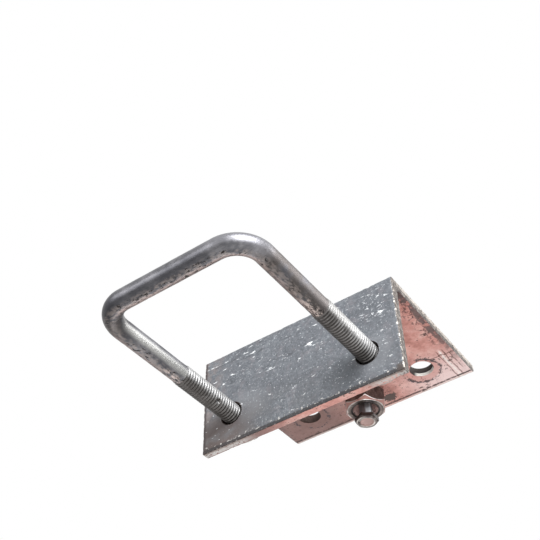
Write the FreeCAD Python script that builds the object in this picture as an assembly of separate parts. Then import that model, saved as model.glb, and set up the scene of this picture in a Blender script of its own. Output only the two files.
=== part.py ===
import FreeCAD, Part
import math
import os

from FreeCAD import Placement, Rotation, Vector

# Roller support bracket: a length of unequal steel angle, drawn against a beam by a square-bend U-bolt.
# The front leg bears on the beam. The top leg carries a row of three holes for the roller.
#
# Frame, in millimetres: +X runs along the angle, +Y into the top leg and away from the beam, +Z up.
# The origin lies on the front leg's outer face, midway between the two U-bolt holes.

# Angle section and length
angle_length = 130.0
front_leg_height = 65.0
top_leg_depth = 100.0
leg_thickness = 6.0
heel_radius = 1.5
root_radius = 3.0
toe_radius = 2.0
toe_edge_radius = 0.6

# Punched holes
punched_hole_diameter = 14.0
clamp_hole_spacing = 90.0
clamp_hole_to_toe = 20.0
roller_hole_spacing = 41.0
roller_hole_to_toe = 23.0

# U-bolt, with threads rolled on a rod of the pitch diameter
rod_diameter = 11.2
thread_diameter = 12.0
rod_bend_radius = 16.0
clamp_face_to_crossbar = 108.0
thread_ahead_of_face = 44.0
thread_run_out = 2.0
rod_end_past_nut = 5.0
rod_end_chamfer = 1.2

# Washers and nuts on the U-bolt
clamp_washer_diameter = 24.0
clamp_washer_thickness = 2.5
clamp_washer_clearance = 0.5
clamp_nut_flats = 19.0
clamp_nut_height = 10.0

# Large nut that stands off the roller bolt under the middle hole
spacer_nut_flats = 24.0
spacer_nut_height = 13.0
spacer_nut_bore = 14.0
spacer_nut_mouth = 16.8
spacer_nut_chamfer_angle = 45.0

# Roller bolt with a low hexagon head
roller_bolt_diameter = 8.0
roller_bolt_flats = 13.0
roller_bolt_head_height = 3.0
roller_bolt_head_below_nut = 5.6
roller_bolt_head_turn = 33.0
roller_bolt_end_past_nut = 3.0
roller_bolt_end_chamfer = 1.0
head_dish_diameter = 8.6
head_dish_depth = 0.5

# Washer and nut on top of the roller bolt
roller_washer_diameter = 24.0
roller_washer_thickness = 2.0
roller_washer_clearance = 0.2
roller_nut_flats = 13.0
roller_nut_height = 6.5

# Fits and form shared by all the fasteners
thread_clearance = 0.05
washer_edge_chamfer = 0.3
nut_face_share = 0.94
nut_chamfer_angle = 30.0
nut_mouth_over_thread = 1.08

# Places worked out from the sizes above
heel_z = front_leg_height - clamp_hole_to_toe
front_toe_z = -clamp_hole_to_toe
top_leg_under_z = heel_z - leg_thickness
roller_row_y = top_leg_depth - roller_hole_to_toe
half_spacing = clamp_hole_spacing / 2
clamp_washer_y = leg_thickness
clamp_nut_y = clamp_washer_y + clamp_washer_thickness
rod_end_y = clamp_nut_y + clamp_nut_height + rod_end_past_nut
crossbar_y = -clamp_face_to_crossbar
bend_start_y = crossbar_y + rod_bend_radius
spacer_nut_under_z = top_leg_under_z - spacer_nut_height
bolt_head_top_z = spacer_nut_under_z - roller_bolt_head_below_nut
bolt_head_under_z = bolt_head_top_z - roller_bolt_head_height
roller_washer_z = heel_z
roller_nut_z = roller_washer_z + roller_washer_thickness
bolt_end_z = roller_nut_z + roller_nut_height + roller_bolt_end_past_nut


def rounded_outline(corners):
    """Closed wire through (point, radius) corners, each rounded by a tangent arc."""
    spans = []
    count = len(corners)
    for index in range(count):
        before = corners[index - 1][0]
        point, radius = corners[index]
        after = corners[(index + 1) % count][0]
        to_before = (before - point).normalize()
        to_after = (after - point).normalize()
        half_angle = to_before.getAngle(to_after) / 2
        setback = radius / math.tan(half_angle)
        bisector = (to_before + to_after).normalize()
        centre = point + bisector * (radius / math.sin(half_angle))
        spans.append((point + to_before * setback, centre - bisector * radius, point + to_after * setback))
    edges = []
    for index in range(count):
        start, middle, end = spans[index]
        edges.append(Part.Arc(start, middle, end).toShape())
        edges.append(Part.LineSegment(end, spans[(index + 1) % count][0]).toShape())
    return Part.Wire(edges)


def turned(profile):
    """Solid of revolution about Z from (radius, height) points, which start and end on the axis."""
    points = [Vector(radius, 0, height) for radius, height in profile]
    face = Part.Face(Part.makePolygon(points + [points[0]]))
    return face.revolve(Vector(0, 0, 0), Vector(0, 0, 1), 360)


def hexagon_prism(flats, height):
    """Hexagonal bar standing on the XY plane, with two corners on the X axis."""
    corner_radius = flats / math.sqrt(3)
    corners = []
    for step in range(7):
        angle = math.radians(60 * step)
        corners.append(Vector(corner_radius * math.cos(angle), corner_radius * math.sin(angle), 0))
    return Part.Face(Part.makePolygon(corners)).extrude(Vector(0, 0, height))


def hexagon_blank(flats, height, chamfer_bottom, chamfer_top, chamfer_angle=nut_chamfer_angle):
    """Hexagon with its corners turned off by a cone at the chosen faces."""
    corner_radius = flats / math.sqrt(3)
    face_radius = nut_face_share * flats / 2
    drop = (corner_radius - face_radius) * math.tan(math.radians(chamfer_angle))
    profile = [(0, 0)]
    if chamfer_bottom:
        profile += [(face_radius, 0), (corner_radius, drop)]
    else:
        profile += [(corner_radius, 0)]
    if chamfer_top:
        profile += [(corner_radius, height - drop), (face_radius, height)]
    else:
        profile += [(corner_radius, height)]
    profile += [(0, height)]
    return hexagon_prism(flats, height).common(turned(profile))


def hexagon_nut(flats, height, bore, mouth, chamfer_angle=nut_chamfer_angle):
    """Nut with a plain bore at its thread's size, and a 45 degree mouth at each face."""
    flare = (mouth - bore) / 2
    hole = turned([
        (0, 0), (mouth / 2, 0), (bore / 2, flare), (bore / 2, height - flare), (mouth / 2, height), (0, height)])
    return hexagon_blank(flats, height, True, True, chamfer_angle).cut(hole)


def threaded_nut(flats, height, thread):
    """Nut that runs on a thread with the shared clearance."""
    return hexagon_nut(flats, height, thread + 2 * thread_clearance, thread * nut_mouth_over_thread)


def plain_washer(outer, thickness, bore):
    """Stamped washer, with the edge of its upper face broken."""
    blank = turned([
        (0, 0), (outer / 2, 0), (outer / 2, thickness - washer_edge_chamfer),
        (outer / 2 - washer_edge_chamfer, thickness), (0, thickness)])
    return blank.cut(Part.makeCylinder(bore / 2, thickness))


def along_y(shape, x, y):
    """Turn a piece built along Z to lie along +Y, with its base at the given place."""
    placed = shape.copy()
    placed.Placement = Placement(Vector(x, y, 0), Rotation(Vector(0, 0, 1), Vector(0, 1, 0)))
    return placed


def lifted(shape, z, turn=0.0):
    """Stand a piece at height z on the roller bolt's axis."""
    placed = shape.copy()
    placed.Placement = Placement(Vector(0, roller_row_y, z), Rotation(Vector(0, 0, 1), turn))
    return placed


def angle_bracket():
    """Sawn length of rolled angle, with two holes in the front leg and three in the top leg."""
    left_x = -angle_length / 2
    section = rounded_outline([
        (Vector(left_x, 0, heel_z), heel_radius),
        (Vector(left_x, 0, front_toe_z), toe_edge_radius),
        (Vector(left_x, leg_thickness, front_toe_z), toe_radius),
        (Vector(left_x, leg_thickness, top_leg_under_z), root_radius),
        (Vector(left_x, top_leg_depth, top_leg_under_z), toe_radius),
        (Vector(left_x, top_leg_depth, heel_z), toe_edge_radius)])
    body = Part.Face(section).extrude(Vector(angle_length, 0, 0))
    for side in (-1, 1):
        body = body.cut(Part.makeCylinder(
            punched_hole_diameter / 2, leg_thickness, Vector(side * half_spacing, 0, 0), Vector(0, 1, 0)))
    for place in (-1, 0, 1):
        body = body.cut(Part.makeCylinder(
            punched_hole_diameter / 2, leg_thickness,
            Vector(place * roller_hole_spacing, roller_row_y, top_leg_under_z), Vector(0, 0, 1)))
    return body


def u_bolt():
    """Rod bent square at two corners, with a thread on each leg."""
    rod_radius = rod_diameter / 2
    thread_radius = thread_diameter / 2
    inner_x = half_spacing - rod_bend_radius
    corner_share = rod_bend_radius * math.sin(math.radians(45))
    edges = []
    edges.append(Part.LineSegment(Vector(-half_spacing, 0, 0), Vector(-half_spacing, bend_start_y, 0)).toShape())
    edges.append(Part.Arc(
        Vector(-half_spacing, bend_start_y, 0),
        Vector(-inner_x - corner_share, bend_start_y - corner_share, 0),
        Vector(-inner_x, crossbar_y, 0)).toShape())
    edges.append(Part.LineSegment(Vector(-inner_x, crossbar_y, 0), Vector(inner_x, crossbar_y, 0)).toShape())
    edges.append(Part.Arc(
        Vector(inner_x, crossbar_y, 0),
        Vector(inner_x + corner_share, bend_start_y - corner_share, 0),
        Vector(half_spacing, bend_start_y, 0)).toShape())
    edges.append(Part.LineSegment(Vector(half_spacing, bend_start_y, 0), Vector(half_spacing, 0, 0)).toShape())
    ring = Part.Wire(Part.Circle(Vector(-half_spacing, 0, 0), Vector(0, 1, 0), rod_radius).toShape())
    rod = Part.Wire(edges).makePipeShell([ring], True, True)
    length = rod_end_y + thread_ahead_of_face
    threaded = turned([
        (0, -thread_run_out), (rod_radius, -thread_run_out), (thread_radius, 0),
        (thread_radius, length - rod_end_chamfer), (thread_radius - rod_end_chamfer, length), (0, length)])
    for side in (-1, 1):
        rod = rod.fuse(along_y(threaded, side * half_spacing, -thread_ahead_of_face))
    return rod.removeSplitter()


def roller_bolt():
    """Low hexagon head with a dished face, and a plain shank at the thread's size."""
    head = hexagon_blank(roller_bolt_flats, roller_bolt_head_height, True, False)
    head = head.cut(Part.makeCone(head_dish_diameter / 2, head_dish_diameter / 2 - head_dish_depth, head_dish_depth))
    shank_radius = roller_bolt_diameter / 2
    length = bolt_end_z - bolt_head_under_z
    shank = turned([
        (0, roller_bolt_head_height / 2), (shank_radius, roller_bolt_head_height / 2),
        (shank_radius, length - roller_bolt_end_chamfer), (shank_radius - roller_bolt_end_chamfer, length),
        (0, length)])
    return head.fuse(shank).removeSplitter()


parts = {
    "angle_bracket": angle_bracket(),
    "u_bolt": u_bolt(),
    "spacer_nut": lifted(
        hexagon_nut(spacer_nut_flats, spacer_nut_height, spacer_nut_bore, spacer_nut_mouth,
                    spacer_nut_chamfer_angle), spacer_nut_under_z),
    "roller_bolt": lifted(roller_bolt(), bolt_head_under_z, roller_bolt_head_turn),
    "roller_bolt_washer": lifted(
        plain_washer(roller_washer_diameter, roller_washer_thickness,
                     roller_bolt_diameter + 2 * roller_washer_clearance), roller_washer_z),
    "roller_bolt_nut": lifted(
        threaded_nut(roller_nut_flats, roller_nut_height, roller_bolt_diameter), roller_nut_z),
}
clamp_washer = plain_washer(
    clamp_washer_diameter, clamp_washer_thickness, thread_diameter + 2 * clamp_washer_clearance)
clamp_nut = threaded_nut(clamp_nut_flats, clamp_nut_height, thread_diameter)
for side_name, side in (("left", -1), ("right", 1)):
    parts[side_name + "_clamp_washer"] = along_y(clamp_washer, side * half_spacing, clamp_washer_y)
    parts[side_name + "_clamp_nut"] = along_y(clamp_nut, side * half_spacing, clamp_nut_y)

os.makedirs("parts", exist_ok=True)
for name, shape in parts.items():
    if not shape.isValid() or len(shape.Solids) != 1:
        raise ValueError(name + " is not one valid solid")
    box = shape.BoundBox
    print("%-20s volume %9.1f mm3  box %7.2f %7.2f %7.2f to %7.2f %7.2f %7.2f" % (
        name, shape.Volume, box.XMin, box.YMin, box.ZMin, box.XMax, box.YMax, box.ZMax))
    shape.Solids[0].exportStep(os.path.join("parts", name + ".step"))
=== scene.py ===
import math

import bmesh
import bpy
from mathutils import Matrix, Vector, noise


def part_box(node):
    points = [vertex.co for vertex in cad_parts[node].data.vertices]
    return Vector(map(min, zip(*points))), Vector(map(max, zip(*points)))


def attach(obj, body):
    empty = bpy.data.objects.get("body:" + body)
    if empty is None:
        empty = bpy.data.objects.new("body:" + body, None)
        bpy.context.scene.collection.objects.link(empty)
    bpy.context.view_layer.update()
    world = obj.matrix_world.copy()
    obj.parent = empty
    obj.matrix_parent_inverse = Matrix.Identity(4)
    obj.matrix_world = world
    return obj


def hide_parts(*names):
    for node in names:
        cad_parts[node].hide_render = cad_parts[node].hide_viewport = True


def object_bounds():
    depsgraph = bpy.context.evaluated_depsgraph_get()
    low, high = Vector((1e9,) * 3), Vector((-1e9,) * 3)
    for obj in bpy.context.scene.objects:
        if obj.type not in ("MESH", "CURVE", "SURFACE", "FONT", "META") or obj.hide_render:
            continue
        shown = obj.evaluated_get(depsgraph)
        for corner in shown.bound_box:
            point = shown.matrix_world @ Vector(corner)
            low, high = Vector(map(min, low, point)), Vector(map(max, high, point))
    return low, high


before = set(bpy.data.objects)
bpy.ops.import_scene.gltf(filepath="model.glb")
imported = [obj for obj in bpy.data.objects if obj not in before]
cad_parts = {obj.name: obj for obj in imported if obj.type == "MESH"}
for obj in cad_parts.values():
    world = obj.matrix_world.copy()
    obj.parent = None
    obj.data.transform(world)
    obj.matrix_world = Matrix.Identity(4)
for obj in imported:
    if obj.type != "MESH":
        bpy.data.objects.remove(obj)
cadLow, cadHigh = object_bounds()
scene = bpy.context.scene
mm = 0.001
print("frame loaded with", len(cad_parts), "nodes")

# mesh helpers, all in millimetres until the piece is made


def newShell():
    return {"points": [], "faces": [], "values": {}}


def addPoint(shell, point, **values):
    shell["points"].append(tuple(point))
    for label, number in values.items():
        shell["values"].setdefault(label, {})[len(shell["points"]) - 1] = number
    return len(shell["points"]) - 1


def bridge(shell, rings):
    # joins each ring to the next with four-sided faces
    for ringA, ringB in zip(rings, rings[1:]):
        for k in range(len(ringA)):
            nextK = (k + 1) % len(ringA)
            shell["faces"].append((ringA[k], ringA[nextK], ringB[nextK], ringB[k]))


def ringAt(shell, angles, radius, height, **values):
    # one ring of points round the local Z axis, whose radius may depend on the angle
    ring = []
    for a in angles:
        r = radius(a) if callable(radius) else radius
        ring.append(addPoint(shell, (r * math.cos(a), r * math.sin(a), height), **values))
    return ring


threadShape = (1.0, 1.0, 0.66, 0.25, 0.0, 0.0, 0.25, 0.66)     # along one pitch: flat crest 1, wider root 0


def threadRows(shell, angles, low, high, pitch, radiusAt, turnSign=1, **values):
    # a helical skin between two heights: each row climbs one pitch in a turn, so the crests are exact
    steps = len(threadShape)
    last = int((high - low) / pitch * steps) + steps
    rows = {}
    for row in range(-steps, last + 1):
        form = threadShape[row % steps]
        for k, a in enumerate(angles):
            climb = turnSign * a / (2 * math.pi)
            height = min(max(low + (row / steps + climb) * pitch, low), high)
            r = radiusAt(form, height, a)
            spot = (r * math.cos(a), r * math.sin(a), height)
            rows[row, k] = addPoint(shell, spot, root=1 - form, **values)
    for row in range(-steps, last):
        for k in range(len(angles)):
            # past the last column the skin meets the first one, one pitch further on
            side = (row, k + 1) if k + 1 < len(angles) else (row + turnSign * steps, 0)
            above = (side[0] + 1, side[1])
            if side in rows and above in rows:
                shell["faces"].append((rows[row, k], rows[side], rows[above], rows[row + 1, k]))


def makePiece(name, shell, place=None, sharpAngle=40):
    # turns a shell into a clean mesh object in metres
    place = place or Matrix.Identity(4)
    mesh = bpy.data.meshes.new(name)
    mesh.from_pydata([(place @ Vector(p)) * mm for p in shell["points"]], [], shell["faces"])
    for label, numbers in shell["values"].items():
        layer = mesh.attributes.new(label, "FLOAT", "POINT")
        layer.data.foreach_set("value", [numbers.get(i, 0.0) for i in range(len(shell["points"]))])
    work = bmesh.new()
    work.from_mesh(mesh)
    bmesh.ops.remove_doubles(work, verts=work.verts, dist=0.004 * mm)
    loose = [v for v in work.verts if not v.link_faces]
    bmesh.ops.delete(work, geom=loose, context="VERTS")
    bmesh.ops.recalc_face_normals(work, faces=work.faces)
    work.to_mesh(mesh)
    work.free()
    mesh.shade_smooth()
    mesh.set_sharp_from_angle(angle=math.radians(sharpAngle))
    piece = bpy.data.objects.new(name, mesh)
    scene.collection.objects.link(piece)
    return piece


def stopsBetween(marks, pitch):
    # grid stops through the given marks, about one pitch apart
    stops = [marks[0]]
    for start, end in zip(marks, marks[1:]):
        count = max(1, round(abs(end - start) / pitch))
        stops += [start + (end - start) * k / count for k in range(1, count + 1)]
    return stops


# material helpers


def hexColour(code):
    # sRGB hex to the linear colour that Blender wants
    parts = [int(code[i:i + 2], 16) / 255 for i in (1, 3, 5)]
    return [c / 12.92 if c <= 0.04045 else ((c + 0.055) / 1.055) ** 2.4 for c in parts] + [1.0]


def addNode(material, kind, settings=None, links=None, output=0):
    # adds one node and gives its output: settings name properties or inputs, links say what feeds an input
    node = material.node_tree.nodes.new(kind)
    for key, value in (settings or {}).items():
        if isinstance(value, str) and value.startswith("#"):
            value = hexColour(value)
        if key == "stops":
            while len(node.color_ramp.elements) < len(value):
                node.color_ramp.elements.new(0.5)
            for element, (place, colour) in zip(node.color_ramp.elements, value):
                element.position, element.color = place, hexColour(colour)
        elif isinstance(key, str) and hasattr(node, key):
            setattr(node, key, value)
        else:
            node.inputs[key].default_value = value
    for key, source in (links or {}).items():
        material.node_tree.links.new(source, node.inputs[key])
    return None if output is None else node.outputs[output]


def startMaterial(name, *labels):
    # gives the material, the object coordinates, and the values that the mesh carries under these labels
    material = bpy.data.materials.new(name)
    material.use_nodes = True
    material.node_tree.nodes.clear()
    carried = [addNode(material, "ShaderNodeAttribute", {"attribute_name": label}, output="Fac")
               for label in labels]
    return material, addNode(material, "ShaderNodeTexCoord", output="Object"), carried


def finishMaterial(material, settings, links):
    shader = addNode(material, "ShaderNodeBsdfPrincipled", settings, links)
    addNode(material, "ShaderNodeOutputMaterial", {}, {"Surface": shader}, None)
    return material


def grainPattern(material, coords, size, detail=4, roughness=0.6, stretch=(1, 1, 1)):
    # cloudy grain whose patches are about this many millimetres wide, longer where stretched
    scaled = addNode(material, "ShaderNodeMapping", {"Scale": [1000 / size / k for k in stretch]},
                     {"Vector": coords})
    return addNode(material, "ShaderNodeTexNoise", {"Scale": 1.0, "Detail": detail, "Roughness": roughness},
                   {"Vector": scaled})


def maskWhere(material, *limits, full=1.0):
    # full where every source has passed its limits, which may run upward or downward
    mask = None
    for source, low, high in limits:
        settings = {"interpolation_type": "SMOOTHSTEP", "From Min": low, "From Max": high,
                    "To Max": 1.0 if mask else full}
        passed = addNode(material, "ShaderNodeMapRange", settings, {"Value": source})
        mask = addNode(material, "ShaderNodeMath", {"operation": "MULTIPLY"},
                       {0: mask, 1: passed}) if mask else passed
    return mask


def paintOver(material, base, layers):
    # lays colours over a base in turn: each has its strength and the limits that its sources have to pass
    for coat, strength, *limits in layers:
        settings = {"data_type": "RGBA"}
        links = {0: maskWhere(material, *limits, full=strength), 6: base}
        if isinstance(coat, str):
            settings[7] = coat
        else:
            links[7] = coat
        base = addNode(material, "ShaderNodeMix", settings, links, 2)
    return base


# the sawn length of steel angle

angleSettings = {
    "thickness": 6.0,
    "heelRadius": 1.5,
    "rootRadius": 3.0,
    "toeRadius": 2.0,
    "toeEdgeRadius": 0.6,
    "sawnEdge": 0.4,         # broken edge at the two sawn ends
    "edgeReach": 1.6,        # how far the wear of that edge reaches along the angle
    "gridPitch": 1.0,
    "patchHalf": 10.0,       # half width of the square patch that holds a hole
    "frontHoles": (-45.0, 45.0),
    "topHoles": (-41.0, 0.0, 41.0),
    "topRowY": 77.0,
    "holeRadius": 7.0,
    # how much wider than the hole its wall is at each depth: a rolled entry and a torn exit
    "holeWall": ((0.55, 0), (0.2, 0.1), (0.03, 0.35), (0, 0.9), (0, 3), (0.05, 4.6), (0.12, 5.5),
                 (0.22, 5.85), (0.5, 6)),
    "tornDepth": 0.12,
    "waveSize": 9.0, "waveDepth": 0.10,     # rolled waviness, pits and edge nicks
    "pitSize": 2.3, "pitDepth": 0.35,
    "nickSize": 2.6, "nickDepth": 0.63,
}


def buildAngle(s):
    low, high = [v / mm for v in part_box("angle_bracket")]
    endX, toeZ, heelZ, depth = high.x, low.z, high.z, high.y
    t, half = s["thickness"], s["patchHalf"]
    underZ = heelZ - t
    ring = []     # the section's outline: y, z, normal y, normal z, leg, primer, edge

    def addSpan(start, end, marks, normal, leg, primer):
        axis = 0 if start[1] == end[1] else 1
        marks = [start[axis]] + marks + [end[axis]]
        for stop in stopsBetween(marks, s["gridPitch"]):
            point = (stop, start[1]) if axis == 0 else (start[0], stop)
            ring.append((*point, *normal, leg, primer, 0.0))

    def addArc(centre, radius, fromDegrees, toDegrees, steps, primers, inside=1, edge=0.0):
        for k in range(1, steps):
            share = k / steps
            a = math.radians(fromDegrees + (toDegrees - fromDegrees) * share)
            ny, nz = math.cos(a) * inside, math.sin(a) * inside
            y, z = centre[0] + radius * math.cos(a), centre[1] + radius * math.sin(a)
            ring.append((y, z, ny, nz, "", primers[0] + (primers[1] - primers[0]) * share, edge))

    heel, root, toe, sharp = s["heelRadius"], s["rootRadius"], s["toeRadius"], s["toeEdgeRadius"]
    row = s["topRowY"]
    addSpan((0, toeZ + sharp), (0, heelZ - heel), [-half, half], (-1, 0), "front", 0.0)
    addArc((heel, heelZ - heel), heel, 180, 90, 5, (0, 0), edge=1.0)
    addSpan((heel, heelZ), (depth - sharp, heelZ), [row - half, row + half], (0, 1), "top", 0.0)
    addArc((depth - sharp, heelZ - sharp), sharp, 90, 0, 4, (0, 0.6), edge=1.0)
    addSpan((depth, heelZ - sharp), (depth, underZ + toe), [], (1, 0), "", 0.8)
    addArc((depth - toe, underZ + toe), toe, 0, -90, 5, (0.8, 1), edge=0.5)
    addSpan((depth - toe, underZ), (t + root, underZ), [row + half, row - half], (0, -1), "top", 1.0)
    addArc((t + root, underZ - root), root, 90, 180, 6, (1, 1), inside=-1)
    addSpan((t, underZ - root), (t, toeZ + toe), [half, -half], (1, 0), "front", 1.0)
    addArc((t - toe, toeZ + toe), toe, 0, -90, 5, (1, 0.7), edge=0.5)
    addSpan((t - toe, toeZ), (sharp, toeZ), [], (0, -1), "", 0.5)
    addArc((sharp, toeZ + sharp), sharp, 270, 180, 4, (0.4, 0), edge=1.0)

    shell = newShell()

    def weather(x, y, z, normal, edge):
        # always inward, so that the outline keeps its size
        p = Vector((x, y, z))
        wave = 0.5 + 0.5 * noise.noise(p / s["waveSize"] + Vector((3, 7, 1)))
        pit = max(0.0, noise.noise(p / s["pitSize"] + Vector((11, 2, 5))) - 0.28)
        glintGap = noise.noise(p / s["nickSize"] + Vector((5, 17, 3))) + 0.25 * noise.noise(p / 1.1)
        cut = wave * s["waveDepth"] + pit * s["pitDepth"] + edge * max(0.0, glintGap - 0.12) * s["nickDepth"]
        return p - Vector(normal).normalized() * cut

    def place(x, y, z, normal, primer, edge, sawn=0.0):
        return addPoint(shell, weather(x, y, z, normal, edge), primer=primer, edge=edge, sawn=sawn)

    holeMarks = [x + d for x in s["frontHoles"] + s["topHoles"] for d in (-half, half)]
    broken = s["sawnEdge"]
    xStops = stopsBetween([-endX + broken] + sorted(set(holeMarks)) + [endX - broken], s["gridPitch"])
    grid = {}
    for i, x in enumerate(xStops):
        endEdge = max(0.0, 1 - (endX - abs(x)) / s["edgeReach"])
        for j, (y, z, ny, nz, leg, primer, edge) in enumerate(ring):
            grid[i, j] = place(x, y, z, (0, ny, nz), primer, max(edge, endEdge))
    count = len(ring)
    centresOf = {"front": [(x, 0.0) for x in s["frontHoles"]], "top": [(x, row) for x in s["topHoles"]]}

    def inPatch(i, j):
        # whether a cell of the grid lies in the patch of a hole
        leg, jNext = ring[j][4], (j + 1) % count
        if not leg or leg != ring[jNext][4]:
            return False
        way = 1 if leg == "front" else 0     # z runs across the front leg, and y across the top one
        x, across = (xStops[i] + xStops[i + 1]) / 2, (ring[j][way] + ring[jNext][way]) / 2
        return any(abs(x - midX) < half and abs(across - mid) < half for midX, mid in centresOf[leg])

    for i in range(len(xStops) - 1):
        for j in range(count):
            if not inPatch(i, j):
                jNext = (j + 1) % count
                shell["faces"].append((grid[i, j], grid[i + 1, j], grid[i + 1, jNext], grid[i, jNext]))

    # the sawn ends: a broken edge, then the flat cut
    for side, last in ((-1, 0), (1, len(xStops) - 1)):
        rings = [[grid[last, j] for j in range(count)]]
        for step, wear, sawn in ((0.5, 1, 0.5), (1, 1, 1), (1.35, 0, 1)):
            turn = math.radians(90 * min(step, 1))
            inset = broken * (1 - math.cos(turn) if step <= 1 else step)
            x = side * (endX - broken * (1 - math.sin(turn)))
            level = []
            for y, z, ny, nz, *rest in ring:
                normal = (side, ny, nz) if step < 1 else (side, 0, 0)
                level.append(place(x, y - ny * inset, z - nz * inset, normal, 0.0, wear, sawn))
            rings.append(level)
        bridge(shell, rings)
        shell["faces"].append(tuple(rings[-1]))

    # each punched hole: a square patch on both faces, joined by the wall
    wall = [(s["holeRadius"] + wider, depthIn) for wider, depthIn in s["holeWall"]]
    for leg, centres in centresOf.items():
        sides = {}     # the outline's points on the leg's outer and inner face, by their place across it
        for j, (y, z, ny, nz, ringLeg, primer, edge) in enumerate(ring):
            if ringLeg == leg:
                outer = (ny < 0) if leg == "front" else (nz > 0)
                sides.setdefault(outer, {})[round(z if leg == "front" else y, 4)] = j
        for midX, mid in centres:
            columns = [i for i, x in enumerate(xStops) if abs(x - midX) < half + 0.01]
            acrossStops = sorted(a for a in sides[True] if abs(a - mid) < half + 0.01)
            loop = [(i, acrossStops[0]) for i in columns]
            loop += [(columns[-1], a) for a in acrossStops[1:]]
            loop += [(i, acrossStops[-1]) for i in reversed(columns[:-1])]
            loop += [(columns[0], a) for a in reversed(acrossStops[1:-1])]
            spots = [(xStops[i] - midX, a - mid) for i, a in loop]
            angles = [math.atan2(v, u) for u, v in spots]

            def spotAt(u, v, depthIn):
                # a place beside the hole's middle, this deep in the leg, and the way out of the face there
                if leg == "front":
                    return (midX + u, depthIn, mid + v), (0, -1 if depthIn < t / 2 else 1, 0)
                return (midX + u, mid + v, heelZ - depthIn), (0, 0, 1 if depthIn < t / 2 else -1)

            faceRings = {}
            for outer, depthIn, rim, primer in ((True, 0, wall[0][0], 0), (False, t, wall[-1][0], 1)):
                rings = [[grid[i, sides[outer][a]] for i, a in loop]]
                for share in (0.3, 0.55, 0.78, 0.93):
                    level = []
                    for (u, v), a in zip(spots, angles):
                        u, v = u + (rim * math.cos(a) - u) * share, v + (rim * math.sin(a) - v) * share
                        point, normal = spotAt(u, v, depthIn)
                        level.append(place(*point, normal, primer, 0.0))
                    rings.append(level)
                bridge(shell, rings)
                faceRings[outer] = rings[-1]
            rings = [faceRings[True]]
            for index, (radius, depthIn) in enumerate(wall):
                torn = s["tornDepth"] if depthIn >= t * 0.6 else 0.0
                level = []
                for a in angles:
                    ripple = noise.noise(Vector((math.cos(a) * 3 + midX, math.sin(a) * 3, depthIn / 2)))
                    r = radius + torn * ripple
                    point, normal = spotAt(r * math.cos(a), r * math.sin(a), depthIn)
                    if 0 < index < len(wall) - 1:
                        level.append(addPoint(shell, point, primer=0.0, edge=0.0, sawn=0.0, punched=1.0))
                    else:
                        level.append(place(*point, normal, 0.0 if index == 0 else 1.0, 0.3))
                rings.append(level)
            bridge(shell, rings + [faceRings[False]])
    return makePiece("angleBody", shell, sharpAngle=50)


angle = buildAngle(angleSettings)
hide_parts("angle_bracket")
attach(angle, "bracket")
print("angle made,", len(angle.data.polygons), "faces")

# the U-bolt: a rod bent square at two corners, with a rolled thread on each leg

boltSettings = {
    "legX": 45.0,
    "rodRadius": 5.6,
    "threadRadius": 6.0,
    "threadRootRadius": 5.6,
    "pitch": 2.0,
    "bendRadius": 16.0,
    "bendSteps": 26,
    "bendFlattening": 0.018,     # share of its radius that the rod loses inside a bend
    "crossbarY": -108.0,
    "threadStartY": -44.0,
    "runOut": 1.8,
    "endY": 23.5,
    "endChamfer": 1.2,
    "endDish": (2.4, 0.1),       # radius and depth of the sheared middle of each end
    "columns": 56,
    "rowPitch": 1.4,
    "waveSize": 6.0, "waveDepth": 0.05,
    "pitSize": 2.1, "pitDepth": 0.3,
    "bruise": {"side": -1, "y": -17.0, "angle": 320.0, "width": 1.5, "depth": 0.9},
}


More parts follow.
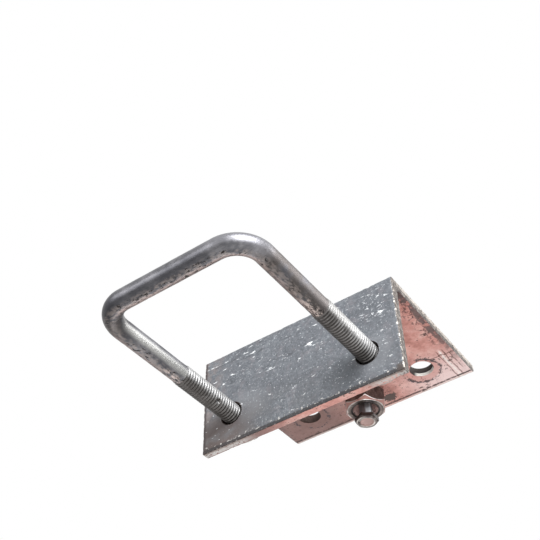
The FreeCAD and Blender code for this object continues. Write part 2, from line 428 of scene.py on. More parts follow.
def buildBolt(s):
    shell = newShell()
    angles = [2 * math.pi * k / s["columns"] for k in range(s["columns"])]
    legX, bend, barY = s["legX"], s["bendRadius"], s["crossbarY"]
    startY = s["threadStartY"] - s["runOut"]
    tip = s["threadRadius"] - s["endChamfer"]
    path = []     # place and direction along the plain rod, and how tightly it bends there

    def addRun(x0, y0, x1, y1):
        length = math.hypot(x1 - x0, y1 - y0)
        steps = max(1, round(length / s["rowPitch"]))
        direction = ((x1 - x0) / length, (y1 - y0) / length)
        for k in range(steps + 1):
            path.append((x0 + (x1 - x0) * k / steps, y0 + (y1 - y0) * k / steps, *direction, 0.0))

    def addBend(cx, cy, fromDegrees):
        for k in range(1, s["bendSteps"]):
            share = k / s["bendSteps"]
            a = math.radians(fromDegrees + 90 * share)
            path.append((cx + bend * math.cos(a), cy + bend * math.sin(a), -math.sin(a), math.cos(a),
                         math.sin(math.pi * share)))

    addRun(-legX, startY, -legX, barY + bend)
    addBend(-legX + bend, barY + bend, 180)
    addRun(-legX + bend, barY, legX - bend, barY)
    addBend(legX - bend, barY + bend, 270)
    addRun(legX, barY + bend, legX, startY)

    rings = []
    for index, (x, y, dx, dy, tight) in enumerate(path):
        level = []
        for a in angles:
            r = s["rodRadius"] * (1 - s["bendFlattening"] * tight * max(0.0, math.cos(a)) ** 2)
            offset = Vector((-dy * math.cos(a), dx * math.cos(a), math.sin(a)))     # 0 faces into the U
            spot = Vector((x, y, 0)) + offset * r
            if 0 < index < len(path) - 1:
                wave = 1 + noise.noise(spot / s["waveSize"])
                pit = max(0.0, noise.noise(spot / s["pitSize"]) - 0.34)
                spot -= offset * (wave * s["waveDepth"] + pit * s["pitDepth"])
            level.append(addPoint(shell, spot, thread=0.0, root=0.0))
        rings.append(level)
    bridge(shell, rings)

    # each threaded leg is made upright and laid along +Y, its X toward the inside of the U: that mirrors the
    # left one, so its thread climbs the other way round to come out right-handed
    for side in (-1, 1):
        inward, up = Vector((-side, 0, 0)), Vector((0, 0, 1))
        bruise = s["bruise"] if s["bruise"]["side"] == side else None
        part = newShell()

        def radiusAt(form, height, a):
            fade = min(max((height - startY) / s["runOut"], 0.0), 1.0)
            r = s["threadRootRadius"] + (s["threadRadius"] - s["threadRootRadius"]) * form
            r = s["rodRadius"] + (r - s["rodRadius"]) * fade
            if height > s["endY"] - s["endChamfer"]:
                r = min(r, s["threadRadius"] - (height - s["endY"] + s["endChamfer"]))
            if height >= s["endY"]:
                r = tip
            if bruise:
                gap = math.hypot(height - bruise["y"], r * (a - math.radians(bruise["angle"])))
                r -= bruise["depth"] * max(0.0, 1 - (gap / bruise["width"]) ** 2)
            return r

        threadRows(part, angles, startY, s["endY"], s["pitch"], radiusAt, side)
        base = len(shell["points"])
        for (x, y, z), root in zip(part["points"], part["values"]["root"].values()):
            spot = Vector((side * legX, z, 0)) + inward * x + up * y
            thread = min(max((z - startY) / s["runOut"], 0.0), 1.0)
            addPoint(shell, spot, thread=thread, root=root * thread)
        shell["faces"] += [tuple(base + k for k in face) for face in part["faces"]]
        # the rod's flat end
        end = []
        for radius, deep in ((tip, 0), s["endDish"]):
            middle = Vector((side * legX, s["endY"] - deep, 0))
            end.append([addPoint(shell, middle + (inward * math.cos(a) + up * math.sin(a)) * radius,
                                 thread=1.0, root=0.0) for a in angles])
        bridge(shell, end)
        shell["faces"].append(tuple(end[-1]))
    return makePiece("uBoltRod", shell, sharpAngle=60)


bolt = buildBolt(boltSettings)
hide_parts("u_bolt")
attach(bolt, "clamp")
print("U-bolt made,", len(bolt.data.polygons), "faces")

# nuts, washers and the roller bolt, each turned about its own Z axis

hexSteps = (-30, -28.6, -26.5, -22, -15, -7.5, 0, 7.5, 15, 22, 26.5, 28.6)
hexAngles = [math.radians(60 * flat + 30 + beta) for flat in range(6) for beta in hexSteps]
roundAngles = [2 * math.pi * k / 72 for k in range(72)]


def hexRadius(flats, cornerShare=0.985):
    # distance from the axis to a hexagon with slightly rounded corners, which lie on the X axis
    def radius(a):
        beta = (math.degrees(a) % 60) - 30
        return min(flats / 2 / math.cos(math.radians(beta)), flats / math.sqrt(3) * cornerShare)
    return radius


def hexFaceRings(shell, s, faceZ, direction):
    # the turned face of a hexagon: a flat ring, then a cone down to the flats
    hexR, faceR = hexRadius(s["flats"]), s["flats"] / 2 * s["faceShare"]
    slope = math.tan(math.radians(s["coneDegrees"]))
    # how far each ring lies from the face circle to the flats, its extra inset and drop, edge and cone values
    rows = ((0, 0.35, 0, 0.1, 0), (0, 0, 0.03, 1, 0), (0.25, 0, 0.05, 0, 1), (0.8, 0, 0.05, 0, 1),
            (1, 0.1, 0.05, 0.9, 0.6), (1, 0, 0.16, 0.8, 0), (1, 0, 0.6, 0, 0))
    levels = []
    for share, inset, drop, edge, cone in rows:
        ring = []
        for a in hexAngles:
            r = faceR + (hexR(a) - faceR) * share
            z = faceZ - direction * (max(0.0, r - faceR) * slope + drop)
            spot = ((r - inset) * math.cos(a), (r - inset) * math.sin(a), z)
            ring.append(addPoint(shell, spot, edge=edge, cone=cone))
        levels.append(ring)
    return levels


def buildNut(name, s, place):
    shell = newShell()
    height, boreR, mouthR = s["height"], s["bore"] / 2, s["mouth"] / 2
    bottom = hexFaceRings(shell, s, 0.0, -1)
    top = hexFaceRings(shell, s, height, 1)
    bridge(shell, bottom)
    bridge(shell, top)
    middle = [ringAt(shell, hexAngles, hexRadius(s["flats"]), height * share, edge=0.0)
              for share in (0.33, 0.66)]
    bridge(shell, [bottom[-1], *middle, top[-1]])
    flare = mouthR - boreR
    for levels, faceZ, direction in ((bottom, 0.0, -1), (top, height, 1)):
        rings = [levels[0]]
        for r, depth in ((mouthR + 0.12, 0.0), (mouthR, 0.1), (mouthR - 0.15, 0.25), (boreR, flare)):
            rings.append(ringAt(shell, hexAngles, r, faceZ - direction * depth, edge=0.0, grime=1.0))
        bridge(shell, rings)

    def radiusAt(form, z, a):
        fade = min(1.0, max(0.0, min(z - flare, height - flare - z)) / s["runOut"])
        return boreR + s["threadDepth"] * (1 - form) * fade

    threadRows(shell, hexAngles, flare, height - flare, s["pitch"], radiusAt, edge=0.0, bore=1.0)
    return makePiece(name, shell, place)


def buildWasher(name, s, place):
    shell = newShell()
    outer, inner, thick, soft = s["outer"] / 2, s["inner"] / 2, s["thickness"], s["soft"]
    middle = (outer + inner) / 2
    # its turned outline: radius, height and how worn; the upper outer edge is the softest
    profile = [
        (outer - 0.08, 0, 0.6), (outer, 0.1, 1), (outer, thick - soft, 0.6),
        (outer - soft * 0.35, thick - soft * 0.3, 1), (outer - soft, thick, 0.4), (middle, thick, 0),
        (inner + 0.2, thick, 0.5), (inner, thick - 0.2, 1), (inner, 0.15, 0.3), (inner + 0.1, 0, 0.5),
        (middle, 0, 0)]
    rings = [ringAt(shell, roundAngles, r, z, edge=edge) for r, z, edge in profile]
    bridge(shell, rings + rings[:1])
    return makePiece(name, shell, place)


def buildRollerBolt(name, s, place):
    shell = newShell()
    headTop, shankR, hexR = s["headHeight"], s["shank"] / 2, hexRadius(s["flats"])
    bottom = hexFaceRings(shell, s, 0.0, -1)
    bridge(shell, bottom)
    # the dished middle of the head
    dishR, deep = s["dish"] / 2, s["dishDepth"]
    levels = [bottom[0]]
    for r, z, edge, dish in ((dishR + 0.15, 0, 0.7, 0), (dishR - 0.05, 0.1, 0.3, 1),
                             (dishR - deep, deep, 0, 1), (dishR * 0.45, deep - 0.04, 0, 1)):
        levels.append(ringAt(shell, hexAngles, r, z, edge=edge, dish=dish))
    bridge(shell, levels)
    shell["faces"].append(tuple(levels[-1]))
    # the head's flats and upper face, a fillet and the plain shank
    worn = s["headEdge"]
    upper = [ringAt(shell, hexAngles, hexR, headTop - worn, edge=0.4),
             ringAt(shell, hexAngles, lambda a: hexR(a) - worn, headTop, edge=0.8)]
    for r, z, shank in ((shankR + 0.6, headTop, 0), (shankR + 0.15, headTop + 0.15, 1),
                        (shankR, headTop + 0.5, 1), (shankR, s["threadStart"], 1)):
        upper.append(ringAt(shell, hexAngles, r, z, edge=0.0, shank=shank))
    bridge(shell, [bottom[-1], *upper])
    tipR, tipZ = shankR - s["chamfer"], s["length"] - s["chamfer"]

    def radiusAt(form, z, a):
        fade = min(1.0, max(0.0, z - s["threadStart"]) / s["runOut"])
        r = shankR - s["threadDepth"] * (1 - form) * fade
        if z > tipZ:
            r = min(r, shankR - (z - tipZ))
        return tipR if z >= s["length"] else r

    threadRows(shell, hexAngles, s["threadStart"], s["length"], s["pitch"], radiusAt, edge=0.0)
    end = [ringAt(shell, hexAngles, tipR, s["length"], edge=0.5),
           ringAt(shell, hexAngles, tipR * 0.5, s["length"], edge=0.0)]
    bridge(shell, end)
    shell["faces"].append(tuple(end[-1]))
    return makePiece(name, shell, place)


def standing(x, y, z, turn=0.0):
    return Matrix.Translation((x, y, z)) @ Matrix.Rotation(math.radians(turn), 4, "Z")


def lying(x, y):
    # local Z to +Y, local X stays on X
    return Matrix.Translation((x, y, 0)) @ Matrix.Rotation(math.radians(-90), 4, "X")


clampNutSettings = {"flats": 19.0, "height": 10.0, "bore": 12.1, "mouth": 12.96, "faceShare": 0.94,
                    "coneDegrees": 30, "pitch": 2.0, "threadDepth": 0.9, "runOut": 0.6}
clampWasherSettings = {"outer": 24.0, "inner": 13.0, "thickness": 2.5, "soft": 0.3}
spacerSettings = {"flats": 24.0, "height": 13.0, "bore": 14.0, "mouth": 16.8, "faceShare": 0.94,
                  "coneDegrees": 45, "pitch": 2.0, "threadDepth": 1.0, "runOut": 0.6}
rollerNutSettings = {"flats": 13.0, "height": 6.5, "bore": 8.1, "mouth": 8.64, "faceShare": 0.94,
                     "coneDegrees": 30, "pitch": 1.25, "threadDepth": 0.65, "runOut": 0.6}
rollerWasherSettings = {"outer": 24.0, "inner": 8.4, "thickness": 2.0, "soft": 0.3}
rollerBoltSettings = {"flats": 13.0, "headHeight": 3.0, "headEdge": 0.15, "faceShare": 0.93, "dish": 8.6,
                      "dishDepth": 0.5, "coneDegrees": 30, "shank": 8.0, "threadStart": 19.0, "length": 39.1,
                      "pitch": 1.25, "threadDepth": 0.65, "runOut": 2.5, "chamfer": 1.0, "headZ": 17.4,
                      "turn": 33.0}
plate = angleSettings["thickness"]
topFaceZ = 45.0     # the top leg's outer face
rollerY = angleSettings["topRowY"]
fasteners = {}


def addFastener(piece, node, body):
    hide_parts(node)
    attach(piece, body)
    fasteners[node] = piece


for sideName, side in (("left", -1), ("right", 1)):
    x = side * boltSettings["legX"]
    addFastener(buildWasher(sideName + "ClampWasher", clampWasherSettings, lying(x, plate)),
                sideName + "_clamp_washer", "bracket")
    nutPlace = lying(x, plate + clampWasherSettings["thickness"])
    addFastener(buildNut(sideName + "ClampNut", clampNutSettings, nutPlace),
                sideName + "_clamp_nut", sideName + "_nut")
spacerPlace = standing(0, rollerY, topFaceZ - plate - spacerSettings["height"])
boltPlace = standing(0, rollerY, rollerBoltSettings["headZ"], rollerBoltSettings["turn"])
rollerNutPlace = standing(0, rollerY, topFaceZ + rollerWasherSettings["thickness"])
addFastener(buildNut("spacerNut", spacerSettings, spacerPlace), "spacer_nut", "bracket")
addFastener(buildRollerBolt("rollerBolt", rollerBoltSettings, boltPlace),
            "roller_bolt", "bracket")
addFastener(buildWasher("rollerBoltWasher", rollerWasherSettings, standing(0, rollerY, topFaceZ)),
            "roller_bolt_washer", "bracket")
addFastener(buildNut("rollerBoltNut", rollerNutSettings, rollerNutPlace),
            "roller_bolt_nut", "bracket")
print("fasteners made:", len(fasteners))

# materials


def makeAngleSteel():
    # hot-rolled steel under a thin dull coat: grainy blue-grey outside, chipped salmon primer inside, with
    # painted highlights and shade in places
    m, coords, (primer, edge, sawn, punched) = startMaterial(
        "hotRolledSteelThinCoat", "primer", "edge", "sawn", "punched")
    x, y, z = [addNode(m, "ShaderNodeSeparateXYZ", {}, {"Vector": coords}, axis) for axis in "XYZ"]
    fromMiddle = addNode(m, "ShaderNodeMath", {"operation": "ABSOLUTE"}, {0: x})
    clouds = grainPattern(m, coords, 18, detail=5, roughness=0.55, stretch=(1.6, 1, 1))
    grain = grainPattern(m, coords, 2.6, detail=6, roughness=0.7, stretch=(1.5, 1, 1))
    grit = grainPattern(m, coords, 1.2, detail=3)
    tint = grainPattern(m, coords, 7, detail=5, roughness=0.65)
    streaks = grainPattern(m, coords, 2.1, detail=4, roughness=0.62, stretch=(3.2, 1, 0.9))
    lanes = grainPattern(m, coords, 11, detail=3, stretch=(3, 1, 1))
    dashes = grainPattern(m, coords, 1.6, detail=3, stretch=(2.6, 1, 0.8))
    patches = grainPattern(m, coords, 9, detail=8, roughness=0.68)
    fine = grainPattern(m, coords, 2.0, detail=6, roughness=0.7)
    beads = grainPattern(m, coords, 1.9, detail=4, roughness=0.6)
    pinholes = grainPattern(m, coords, 1.6, detail=2)
    sawMarks = grainPattern(m, coords, 0.9, detail=3, stretch=(1, 1, 5))
    flakes = addNode(m, "ShaderNodeMix", {0: 0.5}, {2: patches, 3: fine})
    # distances in metres from the marks that have a place of their own
    marks = {"highlightLeft": (-0.033, 0, 0.001), "highlightRight": (0.05, 0, -0.003), "darkBesideRight": (0.031, 0, -0.007),
             "knock": (0.0525, 0, 0.03), "ringRight": (0.0404, 0.079, 0.039),
             "ringLeft": (-0.041, 0.079, 0.039), "grime": (0.01, 0.0905, 0.039)}
    gap = {label: addNode(m, "ShaderNodeVectorMath", {"operation": "DISTANCE", 1: spot}, {0: coords}, "Value")
           for label, spot in marks.items()}
    # places and distances made to wander by a pattern: its strength, and what it is added to
    ridge, alongEnd, alongToe, scoreWay, ragged, ringRight, ringLeft, darkAreaGap = [
        addNode(m, "ShaderNodeMath", {"operation": "MULTIPLY_ADD", 1: strength}, {0: pattern, 2: source})
        for pattern, strength, source in (
            (lanes, 0.034, z), (patches, 0.01, fromMiddle), (patches, 0.01, y),
            (patches, 0.003, fromMiddle),
            (fine, 0.5, primer), (fine, 0.008, gap["ringRight"]), (fine, 0.008, gap["ringLeft"]),
            (flakes, 0.026, gap["grime"]))]

    mottle = addNode(m, "ShaderNodeMix", {0: 0.65}, {2: clouds, 3: grain})
    mottle = addNode(m, "ShaderNodeMix", {0: 0.35}, {2: mottle, 3: grit})
    coat = addNode(m, "ShaderNodeValToRGB", {"stops": [
        (0.4, "#494d51"), (0.47, "#56595f"), (0.53, "#62666b"), (0.61, "#7a7e84")]}, {"Fac": mottle})
    coat = paintOver(m, coat, (
        # warm grey clouds, stronger toward the left end and low on it
        ("#736e72", 0.35, (tint, 0.5, 0.66)),
        ("#857a77", 0.65, (x, -0.046, -0.066), (tint, 0.38, 0.56)),
        ("#68696b", 0.7, (z, 0.01, -0.012), (x, 0.03, -0.03), (clouds, 0.62, 0.5)),
        ("#51433f", 0.8, (x, -0.018, -0.05), (z, 0.01, -0.01), (clouds, 0.28, 0.48)),
        # painted highlight round the two clamp holes, a dark patch beside the right one, and darker toward
        # the right end
        ("#909296", 0.25, (gap["highlightLeft"], 0.016, 0.005)),
        ("#9c9ea2", 0.3, (gap["highlightRight"], 0.016, 0.005)),
        ("#43474c", 0.55, (gap["darkBesideRight"], 0.016, 0.005)),
        ("#4c4f54", 0.28, (x, 0.034, 0.05))))
    # pale bruises in two lanes along the rolling direction, lit as painted highlights, each with a painted
    # shadow on one side
    for low, mid, high in ((0.0355, 0.0395, 0.0435), (0.051, 0.055, 0.06)):
        lane = ((ridge, low, mid), (ridge, high, mid))
        coat = paintOver(m, coat, (("#3a3d42", 0.65, (streaks, 0.45, 0.39), *lane),
                                   ("#dee1e3", 0.95, (streaks, 0.59, 0.64), *lane)))
    coat = paintOver(m, coat, (
        # a knock near the upper right corner, and bright grains all over
        ("#d3d6d9", 0.85, (dashes, 0.595, 0.64), (gap["knock"], 0.014, 0.006)),
        ("#bfc2c6", 0.75, (grit, 0.64, 0.68), (x, -0.06, -0.025)),
        ("#e6e8ea", 0.9, (streaks, 0.65, 0.69)),
        # painted shade along the toe's rounded edge, with beads of bare steel above it, and a thinner dark
        # line down each end
        ("#2b2829", 0.85, (z, -0.0173, -0.0181), (fine, 0.34, 0.42)),
        ("#c6c3bf", 0.85, (beads, 0.57, 0.61), (z, -0.0158, -0.0166), (z, -0.0184, -0.0178)),
        ("#463e3a", 0.85, (x, 0.06, 0.062), (z, -0.0145, -0.0165), (fine, 0.36, 0.46)),
        ("#3a3131", 0.85, (x, -0.0624, -0.0638), (fine, 0.32, 0.42))))

    # the primer is crazed near the root and at the ends, in plates about 4 mm wide
    wander = addNode(m, "ShaderNodeTexNoise", {"Scale": 260.0, "Detail": 5.0, "Roughness": 0.7},
                     {"Vector": coords}, "Color")
    wander = addNode(m, "ShaderNodeVectorMath", {"operation": "MULTIPLY_ADD", 1: (0.007, 0.007, 0.007)},
                     {0: wander, 2: coords}, "Vector")
    crackGap = addNode(m, "ShaderNodeTexVoronoi", {"feature": "DISTANCE_TO_EDGE", "Scale": 1000 / 4},
                       {"Vector": wander}, "Distance")
    cracks = ((crackGap, 0.12, 0.04), (z, -0.01, 0), (fine, 0.43, 0.51))
    chips = maskWhere(m, (flakes, 0.578, 0.6))
    pink = addNode(m, "ShaderNodeValToRGB", {"stops": [
        (0.34, "#a87268"), (0.48, "#c58e85"), (0.62, "#d4a89f")]}, {"Fac": patches})
    pink = paintOver(m, pink, (
        # painted shade toward the left end, and a painted highlight toward the free corner at the right
        ("#6b5450", 0.85, (x, 0.006, -0.032)),
        ("#ebd7d6", 0.8, (x, 0.01, 0.05), (y, 0.058, 0.095)),
        ("#4f322e", 0.85, *cracks, (y, 0.046, 0.026), (patches, 0.45, 0.51)),
        ("#4f322e", 0.85, *cracks, (alongEnd, 0.06, 0.064), (y, 0.068, 0.056)),
        # flakes down to dark steel, painted shade in the root, and a grey margin along the sawn ends
        ("#4b3834", 0.92, (chips, 0, 1)),
        ("#3b2c29", 0.95, (y, 0.019, 0.012), (z, 0.02, 0.036), (fine, 0.32, 0.42)),
        ("#5b4a49", 0.9, (alongEnd, 0.0662, 0.0676), (y, 0.1, 0.05), (patches, 0.44, 0.5)),
        # pinholes scattered over the flat
        ("#4a2f2b", 0.9, (pinholes, 0.69, 0.72)),
        ("#5b3f3a", 0.85, (fine, 0.585, 0.615), (y, 0.068, 0.078), (x, 0.05, 0.038))))
    # a pale score along the sawn end between two dark ones, and a third dark one outside them
    for low, high, shade, *limits in (
            (0.0577, 0.0603, "#efe4e0", (y, 0.066, 0.07)), (0.0567, 0.0577, "#5f372f", (y, 0.066, 0.07)),
            (0.0603, 0.0614, "#5f372f", (y, 0.066, 0.07), (y, 0.098, 0.094)),
            (0.063, 0.064, "#5f372f", (y, 0.07, 0.074), (y, 0.092, 0.088))):
        middle = (low + high) / 2
        pink = paintOver(m, pink, ((shade, 0.95, (scoreWay, low, middle), (scoreWay, high, middle),
                                    (fine, 0.38, 0.46), (x, 0.0, 0.03), *limits),))
    pink = paintOver(m, pink, (
        # a score across the end, and one beside the top leg's toe with a pale strip outside
        ("#5d3a33", 0.9, (alongToe, 0.0768, 0.0774), (alongToe, 0.0784, 0.0778), (x, 0.044, 0.048),
         (fine, 0.4, 0.46)),
        ("#3d2a26", 0.95, (y, 0.0952, 0.0958), (y, 0.0972, 0.0966), (fine, 0.42, 0.48)),
        ("#d9cfca", 0.6, (y, 0.0972, 0.0978))))
    # a ring pressed by a washer round each outer roller hole, and a dark patch beside the large nut
    topLeg = (z, 0.036, 0.038)
    for ringGap, shade in ((ringRight, "#c08379"), (ringLeft, "#745650")):
        pink = paintOver(m, pink, (
            (shade, 0.55, (ringGap, 0.0152, 0.0143), topLeg),
            ("#43363a", 0.95, (ringGap, 0.0141, 0.0146), (ringGap, 0.0163, 0.0157), (patches, 0.44, 0.49),
             topLeg)))
    pink = paintOver(m, pink, (("#453a36", 0.95, (darkAreaGap, 0.0175, 0.0167)),))
    # the toe of the front leg is rubbed back to grey near both ends
    for start, full in ((0.036, 0.052), (-0.026, -0.044)):
        toe = ((x, start, full), (z, -0.018, -0.0192))
        pink = paintOver(m, pink, (("#bfbcba", 0.9, *toe, (y, 0.0046, 0.0038), (fine, 0.4, 0.49)),
                                   ("#7d6f69", 0.85, *toe, (y, 0.0018, 0.0012))))

    primed = maskWhere(m, (ragged, 0.58, 0.7))
    cut = addNode(m, "ShaderNodeMix", {0: 0.3}, {2: fine, 3: sawMarks})
    cut = addNode(m, "ShaderNodeValToRGB", {"stops": [
        (0.38, "#26211e"), (0.48, "#45403d"), (0.56, "#5c5652"), (0.64, "#8b837c")]}, {"Fac": cut})
    inHole, atEnd = (punched, 0.4, 0.6), (fromMiddle, 0.0641, 0.0647)
    colour = paintOver(m, coat, (
        (pink, 1.0, (primed, 0, 1)),
        # dark, gummy line where the two coats meet along the toe
        ("#3b302d", 0.9, (ragged, 0.38, 0.44), (ragged, 0.68, 0.6)),
        # holes punched through are bare steel, painted dark inside as shade, with a painted highlight at the
        # torn edge of the right roller hole
        ("#2b2523", 1.0, inHole),
        ("#41322d", 0.9, inHole, (x, -0.02, -0.03)),
        ("#e4e1dc", 0.85, inHole, (z, 0.0413, 0.0407), (x, 0.02, 0.03), (y, 0.0795, 0.082)),
        # the sawn ends, with beads of bare steel along two of their edges, and the worn edges
        (cut, 1.0, (sawn, 0, 1)),
        ("#d6d1c9", 0.85, (beads, 0.52, 0.6), atEnd, (y, 0.0016, 0.0009)),
        ("#8f8983", 0.85, (beads, 0.4, 0.48), atEnd, (z, 0.0414, 0.043), (y, 0.002, 0.01)),
        ("#a9a8a8", 0.6, (edge, 0.5, 1.0), (fine, 0.56, 0.64), (sawn, 0.6, 0.1))))
    rough = addNode(m, "ShaderNodeMapRange", {"To Min": 0.46, "To Max": 0.72}, {"Value": grain})
    for rougher in (sawn, punched):
        rough = addNode(m, "ShaderNodeMath", {"operation": "MULTIPLY_ADD", 1: 0.3}, {0: rougher, 2: rough})
    flaked = maskWhere(m, (chips, 0, 1), (primed, 0, 1))
    relief = addNode(m, "ShaderNodeBump", {"Distance": 0.09 * mm}, {"Height": grain})
    relief = addNode(m, "ShaderNodeBump", {"Distance": 0.035 * mm}, {"Height": grit, "Normal": relief})
    relief = addNode(m, "ShaderNodeBump", {"Distance": 0.12 * mm, "invert": True},
                     {"Height": flaked, "Normal": relief})
    return finishMaterial(m, {"Metallic": 0.25, "IOR": 1.5},
                          {"Base Color": colour, "Roughness": rough, "Normal": relief})


def makeRodSteel():
    # cold-drawn rod gone dull: grey skin that still shines, brighter thread, pits underneath, and painted
    # highlights, shade and a warm reflection by which way the surface faces
    m, coords, (thread, root) = startMaterial("drawnSteelWeathered", "thread", "root")
    x, y = [addNode(m, "ShaderNodeSeparateXYZ", {}, {"Vector": coords}, axis) for axis in "XY"]
    # marks are drawn out along the rod: along Y on the legs, along X on the crossbar
    legWay, barWay = [addNode(m, "ShaderNodeVectorMath", {"operation": "MULTIPLY", 1: squeeze}, {0: coords},
                              "Vector") for squeeze in ((1, 0.45, 1), (0.45, 1, 1))]
    drawn = addNode(m, "ShaderNodeMix", {"data_type": "VECTOR"},
                    {0: maskWhere(m, (y, -0.093, -0.103)), 4: legWay, 5: barWay}, 1)
    clouds = grainPattern(m, coords, 14, detail=5, roughness=0.55)
    spots = grainPattern(m, drawn, 1.5, detail=5, roughness=0.62)
    # how far the surface faces the side given a painted highlight, the upper side given another, and the side
    # given painted shade, a painted warm reflection and pits: down, toward the plate and the left leg
    normal = addNode(m, "ShaderNodeNewGeometry", output="Normal")
    highlightSide, upperHighlightSide, downSidePaintedLightAndPits = [
        addNode(m, "ShaderNodeVectorMath", {"operation": "DOT_PRODUCT", 1: way}, {0: normal}, "Value")
        for way in ((0.86, -0.1, 0.5), (0.42, -0.56, 0.72), (-0.42, 0.55, -0.72))]
    pits = grainPattern(m, drawn, 1.3, detail=4, roughness=0.7)
    pits = maskWhere(m, (pits, 0.565, 0.6), (downSidePaintedLightAndPits, 0.15, 0.6), (clouds, 0.42, 0.52))

    skin = addNode(m, "ShaderNodeMix", {0: 0.35}, {2: clouds, 3: spots})
    skin = addNode(m, "ShaderNodeValToRGB", {"stops": [
        (0.38, "#4b4b50"), (0.5, "#606064"), (0.62, "#7b7a7e")]}, {"Fac": skin})
    skin = paintOver(m, skin, (
        # the left leg gets a painted highlight on its upper inner side, the right one is brown with old
        # grease, and the left bend is darker
        ("#a6a6a4", 0.88, (x, -0.03, -0.04), (y, -0.104, -0.094), (highlightSide, 0.05, 0.45),
         (highlightSide, 0.97, 0.72)),
        ("#484341", 0.9, (x, 0.036, 0.043), (y, -0.1, -0.088), (clouds, 0.3, 0.5)),
        ("#3b3939", 0.8, (x, -0.032, -0.044), (y, -0.084, -0.097)),
        # a painted highlight on the upper side of the crossbar's right end, and painted shade beside that
        # where the bar faces away from the light
        ("#828287", 0.7, (x, 0.01, 0.034), (y, -0.086, -0.102), (upperHighlightSide, -0.1, 0.8)),
        ("#3b3b40", 0.65, (y, -0.098, -0.104), (x, 0.034, 0.018), (upperHighlightSide, 0.55, 0.15)),
        # a painted warm reflection on the side facing down, flaking where the rod meets the thread, and pits
        ("#8f8581", 0.5, (downSidePaintedLightAndPits, 0.3, 0.6), (spots, 0.42, 0.58)),
        ("#b9a099", 0.65, (downSidePaintedLightAndPits, 0.72, 0.97), (spots, 0.3, 0.5)),
        ("#bfb0aa", 0.7, (downSidePaintedLightAndPits, 0.4, 0.7), (y, -0.064, -0.052), (spots, 0.51, 0.56)),
        ("#1d1918", 1.0, (pits, 0, 1))))

    rightLeg, leftLeg, inRoot = (x, -0.03, 0.03), (x, 0.03, -0.03), (root, 0.25, 0.9)
    bare = addNode(m, "ShaderNodeValToRGB", {"stops": [(0.36, "#757474"), (0.6, "#8a8989")]}, {"Fac": spots})
    bare = paintOver(m, bare, (
        # painted shade on the thread's side facing down, a painted highlight on its lit side, and darker
        # patches away from it
        ("#3f3734", 0.74, (downSidePaintedLightAndPits, 0.0, 0.8)),
        ("#979796", 0.8, (highlightSide, 0.2, 0.7)),
        ("#3c3937", 0.6, (clouds, 0.47, 0.55), (highlightSide, 0.6, 0.2)),
        # painted highlights just outside the plate on the right leg and on the left leg's lit side, painted
        # shade on the left leg away from it; painted shade in the roots, deeper on the right leg and away
        # from its lit side, even on the left one
        ("#b4b4b5", 0.65, (y, -0.034, -0.012), (highlightSide, -0.2, 0.45), rightLeg),
        ("#4a4644", 0.45, (highlightSide, 0.55, 0.2), leftLeg),
        ("#b4b4b5", 0.5, (highlightSide, 0.35, 0.75), leftLeg),
        ("#2c2927", 0.25, inRoot),
        ("#2c2927", 0.33, inRoot, rightLeg),
        ("#2c2927", 0.45, inRoot, rightLeg, (highlightSide, 0.45, 0.05))))
    colour = paintOver(m, skin, ((bare, 1.0, (thread, 0, 1)),))
    rough = addNode(m, "ShaderNodeMapRange", {"To Min": 0.33, "To Max": 0.43}, {"Value": spots})
    handled = maskWhere(m, (y, -0.1, -0.088), (thread, 1.8, 0), full=0.16)     # the plain legs are duller
    rough = addNode(m, "ShaderNodeMath", {"operation": "ADD"}, {0: rough, 1: handled})
    pitted = maskWhere(m, (pits, 0, 1), (thread, 1, 0))
    relief = addNode(m, "ShaderNodeBump", {"Distance": 0.01 * mm}, {"Height": spots})
    relief = addNode(m, "ShaderNodeBump", {"Distance": 0.12 * mm, "invert": True},
                     {"Height": pitted, "Normal": relief})
    return finishMaterial(m, {"Metallic": 0.85}, {"Base Color": colour, "Roughness": rough, "Normal": relief})


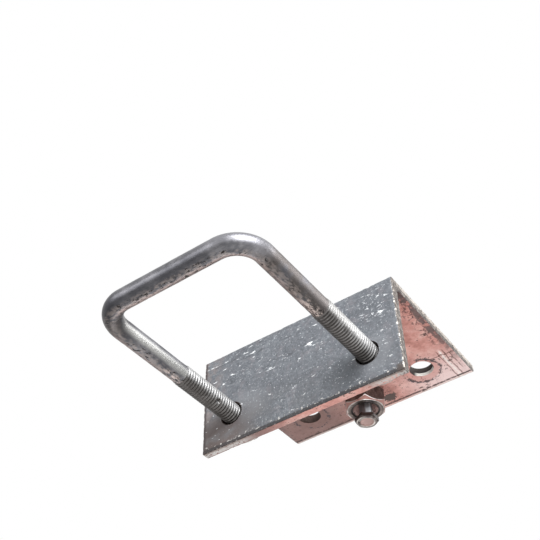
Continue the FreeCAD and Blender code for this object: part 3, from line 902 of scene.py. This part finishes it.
def makeFastenerSteel(name, tones, metallic, rubbed):
    m, coords, (edge, root, bore, dish, cone, grime, shank) = startMaterial(
        name, "edge", "root", "bore", "dish", "cone", "grime", "shank")
    clouds = grainPattern(m, coords, 5, detail=6)
    grain = grainPattern(m, coords, 0.9)
    z = addNode(m, "ShaderNodeSeparateXYZ", {}, {"Vector": coords}, "Z")
    normal = addNode(m, "ShaderNodeNewGeometry", output="Normal")
    sideways = addNode(m, "ShaderNodeVectorMath", {"operation": "DOT_PRODUCT", 1: (0.81, 0.58, 0.0)},
                       {0: normal}, "Value")
    # where the painted glint on the large nut sits
    glintGap = addNode(m, "ShaderNodeVectorMath", {"operation": "DISTANCE", 1: (0.0085, 0.068, 0.0272)},
                   {0: coords}, "Value")
    colour = addNode(m, "ShaderNodeMix", {0: 0.3}, {2: clouds, 3: grain})
    colour = addNode(m, "ShaderNodeValToRGB", {"stops": list(zip((0.36, 0.5, 0.64), tones))}, {"Fac": colour})
    colour = paintOver(m, colour, (
        # primer on the large nut's cone, rubbed corners, painted shade in the thread roots
        ("#a87c75", 0.8, (cone, 0, 1), (z, 0.021, 0.022)),
        (rubbed, 0.85, (edge, 0, 1), (clouds, 0.38, 0.56)),
        ("#2e2826", 0.8, (root, 0.25, 0.9)),
        # a dark head on the roller bolt, primer in the bores painted paler as light reflected into them, and
        # painted shadow in their mouths
        ("#2c2625", 0.8, (z, 0.0212, 0.0206), (z, 0.0175, 0.0179)),
        ("#c4a19c", 0.85, (bore, 0, 1)),
        ("#171211", 0.95, (grime, 0.72, 0.86)),
        ("#a08681", 0.85, (dish, 0, 1)),
        # the roller bolt's shank gets a painted highlight, a painted pink reflection on one side and painted
        # shade on the other
        ("#c3c9cf", 1.0, (shank, 0, 1)),
        ("#4d3733", 0.8, (shank, 0, 1), (sideways, -0.05, -0.3)),
        ("#2b2828", 0.8, (shank, 0, 1), (sideways, 0.55, 0.8)),
        # a painted glint on one corner of the large nut
        ("#ffffff", 1.0, (edge, 0.4, 0.8), (glintGap, 0.0048, 0.0036))))
    rough = addNode(m, "ShaderNodeMapRange", {"To Min": 0.24, "To Max": 0.48}, {"Value": clouds})
    relief = addNode(m, "ShaderNodeBump", {"Distance": 0.05 * mm}, {"Height": grain})
    metal = addNode(m, "ShaderNodeMapRange", {"To Min": metallic, "To Max": 0.25}, {"Value": shank})
    return finishMaterial(m, {}, {"Base Color": colour, "Roughness": rough, "Normal": relief,
                                  "Metallic": metal})


angleSteel = makeAngleSteel()
rodSteel = makeRodSteel()
# zinc plate rubbed thin: pale grey with a slight warm cast
zincPlate = makeFastenerSteel("wornZincPlate", ("#77736f", "#918e8a", "#aaa8a5"), 0.85, "#c9c7c4")
# plain steel gone dark: brown-black flats with bright rubbed corners
darkSteel = makeFastenerSteel("darkenedPlainSteel", ("#40373a", "#5c524e", "#7c726d"), 0.8, "#c6c3bf")
angle.data.materials.append(angleSteel)
bolt.data.materials.append(rodSteel)
for node, piece in fasteners.items():
    piece.data.materials.append(darkSteel if node in ("spacer_nut", "roller_bolt") else zincPlate)
print("materials made")

# camera, lamps, floor and background

cameraSettings = {
    "place": (0.223648, -0.346707, -0.311191),
    "right": (0.812063, 0.583242, -0.019561),
    "up": (0.416812, -0.556225, 0.718945),
    "back": (0.408439, -0.591982, -0.694791),
    "lens": 62.482,
    "sensor": 36.0,
    "clip": (0.01, 20.0),
}
axes = [Vector(cameraSettings[way]) for way in ("right", "up", "back")]
camera = bpy.data.objects.new("camera", bpy.data.cameras.new("camera"))
camera.data.lens = cameraSettings["lens"]
camera.data.sensor_width = cameraSettings["sensor"]
camera.data.clip_start, camera.data.clip_end = cameraSettings["clip"]
camera.matrix_world = Matrix.Translation(cameraSettings["place"]) @ Matrix(axes).transposed().to_4x4()
scene.collection.objects.link(camera)
scene.camera = camera

# each lamp: place in metres along the camera's right, up and back from the part's middle, size, watts
lampSettings = {
    "keyAbove": ((0.15, 0.58, 0.27), 0.58, 11.0),
    "bandLeft": ((-0.58, 0.24, 0.18), 0.30, 1.3),
    "bandRight": ((0.63, 0.06, -0.07), 0.34, 2.7),
    "bandRim": ((0.56, 0.20, -0.22), 0.36, 2.8),
    "bandBelow": ((-0.08, -0.62, -0.13), 0.36, 0.9),
    "fillFront": ((0.28, 0.28, 0.53), 0.50, 0.8),
}
middle = (cadLow + cadHigh) / 2
for name, (offset, size, watts) in lampSettings.items():
    lamp = bpy.data.objects.new(name, bpy.data.lights.new(name, "AREA"))
    lamp.data.size = size
    lamp.data.energy = watts
    lamp.location = middle + sum((axis * share for axis, share in zip(axes, offset)), Vector())
    lamp.rotation_euler = (lamp.location - middle).to_track_quat("Z", "Y").to_euler()
    scene.collection.objects.link(lamp)


def seenStraight(material):
    # 1 for what is seen directly, in metal or through glass, so that it can be pale without lighting the part
    seen, glossy, through = [addNode(material, "ShaderNodeLightPath", output=ray)
                             for ray in ("Is Camera Ray", "Is Glossy Ray", "Is Transmission Ray")]
    for straight in (glossy, through):
        seen = addNode(material, "ShaderNodeMath", {"operation": "MAXIMUM"}, {0: seen, 1: straight})
    return seen


floorSettings = {"half": 4.0, "height": -0.60, "colour": "#e9e8e6", "paleness": 0.35}
half = floorSettings["half"]
corners = [(x * half, y * half, floorSettings["height"]) for x, y in ((-1, -1), (1, -1), (1, 1), (-1, 1))]
floorMesh = bpy.data.meshes.new("floor")
floorMesh.from_pydata(corners, [], [(0, 1, 2, 3)])
floor = bpy.data.objects.new("floor", floorMesh)
scene.collection.objects.link(floor)
paint = startMaterial("paleFloorPaint")[0]
glow = addNode(paint, "ShaderNodeMath", {"operation": "MULTIPLY", 1: floorSettings["paleness"]},
               {0: seenStraight(paint)})
finishMaterial(paint, {"Base Color": floorSettings["colour"], "Emission Color": floorSettings["colour"],
                       "Roughness": 0.85}, {"Emission Strength": glow})
floorMesh.materials.append(paint)

worldSettings = {"colour": "#ffffff", "ambient": 0.35, "seen": 1.0}
world = bpy.data.worlds.new("softRoom")
scene.world = world
world.use_nodes = True
world.node_tree.nodes.clear()
ambient, shown = [addNode(world, "ShaderNodeBackground", {"Color": worldSettings["colour"],
                                                          "Strength": worldSettings[label]})
                  for label in ("ambient", "seen")]
mixed = addNode(world, "ShaderNodeMixShader", {}, {0: seenStraight(world), 1: ambient, 2: shown})
addNode(world, "ShaderNodeOutputWorld", {}, {"Surface": mixed}, None)
scene.view_settings.view_transform = "Standard"
print("camera, lamps and floor made")
